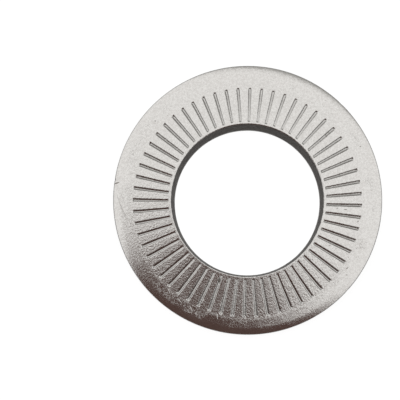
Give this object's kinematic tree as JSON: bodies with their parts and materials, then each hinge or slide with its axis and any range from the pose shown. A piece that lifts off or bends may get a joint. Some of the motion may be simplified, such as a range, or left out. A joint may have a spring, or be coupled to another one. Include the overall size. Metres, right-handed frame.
{
  "type": "contact washer",
  "caption": "Coned spring washer of sheet steel with radial serrations on its convex face, clamped under a bolt head or nut so that it holds preload and doesn't turn.",
  "frame": {"origin": "on the washer's axis, in the plane that its rim stands on, concave face down", "axes": "+Z along the axis, out of the convex serrated face; +X towards the gap between two serrations, near the first one"},
  "size_m": [0.03, 0.03, 0.0034],
  "materials": {
    "steel": "tumbled satin sheet steel with fine grain, bare sheared edges"
  },
  "bodies": {
    "root": {"contact_washer": "steel"}
  },
  "joints": []
}
